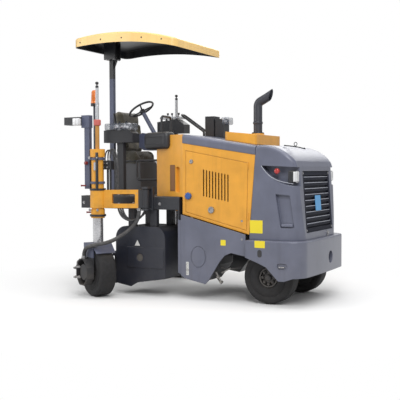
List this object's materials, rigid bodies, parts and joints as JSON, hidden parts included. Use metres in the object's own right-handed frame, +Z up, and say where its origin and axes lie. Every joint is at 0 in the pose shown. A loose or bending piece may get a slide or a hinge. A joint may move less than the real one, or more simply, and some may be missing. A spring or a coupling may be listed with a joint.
{
  "type": "wheeled cold milling machine",
  "caption": "Small wheeled cold planer with a milling drum behind the hood on the right, two column-mounted rear wheels, a lone-post canopy and an open operator's seat",
  "frame": {"origin": "On the ground, under the middle of the overall length and width, to within 20 mm", "axes": "+X forward to the grille, +Y to the machine's left, +Z up"},
  "size_m": [3.04, 2.2908, 3.0939],
  "materials": {
    "yellow_paint": "semi-gloss enamel, dusty",
    "grey_paint": "semi-gloss enamel, worn",
    "slate_paint": "semi-gloss enamel, dusty",
    "dark_paint": "matt enamel, worn",
    "bare_steel": "machined",
    "plated_steel": "plated, scratched",
    "cast_iron": "as cast, dirty",
    "tyre_rubber": "solid rubber, scuffed",
    "black_plastic": "grained",
    "canopy_shell": "moulded, weathered",
    "lamp_white": "clear cover over a white reflector",
    "lamp_amber": "translucent",
    "seat_cloth": "woven, worn"
  },
  "bodies": {
    "chassis": {"main_frame": "dark_paint", "front_axle": "dark_paint", "drum_housing": "dark_paint", "engine": "cast_iron", "hood_shell": "yellow_paint", "hood_top": "grey_paint", "nose_shell": "grey_paint", "grille": "dark_paint", "headlamps": "lamp_white", "bumper": "grey_paint", "intake_box": "yellow_paint", "exhaust_stack": "dark_paint", "platform": "dark_paint", "seat": "seat_cloth", "control_consoles": "black_plastic", "steering_console": "slate_paint", "canopy": "canopy_shell", "canopy_post": "slate_paint", "handrails": "dark_paint", "top_boxes": "black_plastic", "beacon": "lamp_amber", "left_column": "yellow_paint", "skirt_right": "grey_paint", "gauge_rod_left": "plated_steel", "skirt_left": "grey_paint"},
    "swing_arm": {"right_swing_arm": "yellow_paint", "gauge_rod_right": "plated_steel", "lamp_post": "slate_paint", "valve_block": "dark_paint", "motor_hose": "black_plastic"},
    "right_leg": {"leg_right": "slate_paint"},
    "left_leg": {"leg_left": "slate_paint"},
    "rear_wheel_right": {"rear_tyre_right": "tyre_rubber", "rear_rim_right": "cast_iron"},
    "rear_wheel_left": {"rear_tyre_left": "tyre_rubber", "rear_rim_left": "cast_iron"},
    "right_knuckle": {"knuckle_right": "dark_paint"},
    "left_knuckle": {"knuckle_left": "dark_paint"},
    "front_wheel_right": {"front_tyre_right": "tyre_rubber", "front_rim_right": "cast_iron"},
    "front_wheel_left": {"front_tyre_left": "tyre_rubber", "front_rim_left": "cast_iron"},
    "steering_cylinder_rod": {"steering_rod": "plated_steel"},
    "milling_drum": {"drum_core": "cast_iron", "drum_picks": "bare_steel"},
    "scraper_gate": {"scraper": "dark_paint"},
    "right_door": {"hood_door_right": "yellow_paint"},
    "left_door": {"hood_door_left": "yellow_paint"},
    "hand_wheel": {"steering_wheel": "black_plastic"}
  },
  "joints": [
    {"name": "steer_right", "type": "hinge", "parent": "chassis", "child": "right_knuckle", "pos_m": [1.055, -0.318, 0.287], "axis": [0, 0, 1], "range_deg": [-28, 28]},
    {"name": "steer_left", "type": "hinge", "parent": "chassis", "child": "left_knuckle", "pos_m": [1.055, 0.318, 0.287], "axis": [0, 0, 1], "range_deg": [-28, 28]},
    {"name": "steering_cylinder", "type": "slide", "parent": "chassis", "child": "steering_cylinder_rod", "axis": [0, -1, 0], "range_m": [-0.0734, 0.0734]},
    {"name": "front_right_spin", "type": "hinge", "parent": "right_knuckle", "child": "front_wheel_right", "pos_m": [1.055, -0.456, 0.287], "axis": [0, 1, 0], "continuous": true},
    {"name": "front_left_spin", "type": "hinge", "parent": "left_knuckle", "child": "front_wheel_left", "pos_m": [1.055, 0.456, 0.287], "axis": [0, 1, 0], "continuous": true},
    {"name": "arm_swing", "type": "hinge", "parent": "chassis", "child": "swing_arm", "pos_m": [-0.415, -0.69, 1.125], "axis": [0, 0, 1], "range_deg": [0, 120]},
    {"name": "right_leg_height", "type": "slide", "parent": "swing_arm", "child": "right_leg", "axis": [0, 0, 1], "range_m": [-0.05, 0.265], "deforming": ["motor_hose"]},
    {"name": "left_leg_height", "type": "slide", "parent": "chassis", "child": "left_leg", "axis": [0, 0, 1], "range_m": [-0.05, 0.265]},
    {"name": "rear_right_spin", "type": "hinge", "parent": "right_leg", "child": "rear_wheel_right", "pos_m": [-0.935, -0.9, 0.287], "axis": [0.4848, 0.8746, 0], "continuous": true},
    {"name": "rear_left_spin", "type": "hinge", "parent": "left_leg", "child": "rear_wheel_left", "pos_m": [-0.935, 0.915, 0.287], "axis": [0, 1, 0], "continuous": true},
    {"name": "drum_spin", "type": "hinge", "parent": "chassis", "child": "milling_drum", "pos_m": [-0.525, -0.379, 0.44], "axis": [0, 1, 0], "continuous": true},
    {"name": "scraper_lift", "type": "hinge", "parent": "chassis", "child": "scraper_gate", "pos_m": [-0.89, -0.375, 0.47], "axis": [0, 1, 0], "range_deg": [0, 50]},
    {"name": "right_door_hinge", "type": "hinge", "parent": "chassis", "child": "right_door", "pos_m": [0.843, -0.6, 1.2], "axis": [0, 0, 1], "range_deg": [0, 100]},
    {"name": "left_door_hinge", "type": "hinge", "parent": "chassis", "child": "left_door", "pos_m": [0.843, 0.6, 1.2], "axis": [0, 0, -1], "range_deg": [0, 100]},
    {"name": "steering_wheel_turn", "type": "hinge", "parent": "chassis", "child": "hand_wheel", "pos_m": [-0.883, -0.04, 2.215], "axis": [-0.5299, 0, 0.848], "range_deg": [-540, 540]}
  ],
  "couplings": [
    {"joint": "steer_left", "follows": "steer_right", "ratio": 1},
    {"joint": "steering_cylinder", "follows": "steer_right", "m_per_rad": 0.15}
  ]
}
